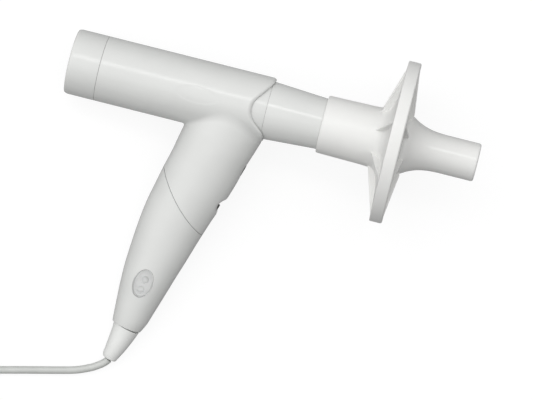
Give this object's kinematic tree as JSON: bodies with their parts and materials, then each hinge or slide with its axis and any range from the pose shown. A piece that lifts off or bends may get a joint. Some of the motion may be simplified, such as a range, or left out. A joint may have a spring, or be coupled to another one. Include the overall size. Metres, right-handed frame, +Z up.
{
  "type": "spirometer",
  "caption": "Hand-held spirometer: a round air tube on an angled handle, a push-on bacterial filter with a mouthpiece port, a pull-out flow tube, two sprung controls and a coiled data cord.",
  "frame": {"origin": "middle of the underside of the device without its cord, on the surface it lies on", "axes": "+X along the air tube towards the mouthpiece (the tube rises 8.6 degrees towards it), -Y along the handle, +Z up"},
  "size_m": [0.3921, 0.2981, 0.1147],
  "materials": {
    "housing_abs": "smooth moulded ABS, white with a grey tint",
    "filter_polypropylene": "satin moulded polypropylene, white",
    "filter_fleece": "electret fleece, white",
    "seal_silicone": "matt silicone, grey",
    "control_grey": "matt moulded nylon, dark grey",
    "clear_polycarbonate": "clear polished polycarbonate",
    "board_laminate": "green solder mask",
    "chip_resin": "matt black resin",
    "steel": "bright plated steel",
    "plate_steel": "rolled stainless sheet",
    "cord_pvc": "satin flexible PVC, mid grey"
  },
  "bodies": {
    "housing": {"upper_housing": "housing_abs", "lower_handle": "housing_abs", "nose_collar": "housing_abs", "nose_seal": "seal_silicone", "rear_bush": "control_grey", "port_block": "housing_abs", "tap_seal_rear": "seal_silicone", "tap_seal_front": "seal_silicone", "pressure_hose_rear": "seal_silicone", "pressure_hose_front": "seal_silicone", "handle_frame": "control_grey", "frame_screw_1": "steel", "frame_screw_2": "steel", "frame_screw_3": "steel", "frame_screw_4": "steel", "circuit_board": "board_laminate", "pressure_sensor": "chip_resin", "processor_chip": "chip_resin", "board_connector": "filter_polypropylene", "status_light": "clear_polycarbonate", "light_guide": "clear_polycarbonate", "status_lens": "clear_polycarbonate", "inner_lead": "cord_pvc", "strain_relief": "cord_pvc", "button_spring": "steel", "latch_spring": "steel", "cord_run": "cord_pvc", "cord_coil": "cord_pvc", "cord_tie": "seal_silicone", "cord_tail": "cord_pvc", "plug_body": "cord_pvc", "plug_shell": "steel"},
    "tube": {"flow_tube": "housing_abs", "flow_element": "plate_steel"},
    "filter": {"filter_rear_half": "filter_polypropylene", "filter_front_half": "filter_polypropylene", "filter_medium": "filter_fleece"},
    "ring": {"rear_ring": "housing_abs", "rear_ring_seal": "seal_silicone"},
    "button": {"front_button": "control_grey"},
    "latch": {"release_latch": "control_grey"}
  },
  "joints": [
    {"name": "tube_pull", "type": "slide", "parent": "housing", "child": "tube", "axis": [0.9887, 0, 0.15], "range_m": [0, 0.11]},
    {"name": "filter_pull", "type": "slide", "parent": "tube", "child": "filter", "axis": [0.9887, 0, 0.15], "range_m": [0, 0.06]},
    {"name": "ring_pull", "type": "slide", "parent": "housing", "child": "ring", "axis": [-0.9887, 0, -0.15], "range_m": [0, 0.025]},
    {"name": "button_press", "type": "slide", "parent": "housing", "child": "button", "axis": [-0.9526, 0.2862, -0.1036], "range_m": [0, 0.0012], "stiffness_N_per_m": 400, "springref_m": -0.002, "deforming": ["button_spring"]},
    {"name": "latch_press", "type": "slide", "parent": "housing", "child": "latch", "axis": [-0.9311, 0.3532, -0.0907], "range_m": [0, 0.0015], "stiffness_N_per_m": 500, "springref_m": -0.002, "deforming": ["latch_spring"]}
  ]
}
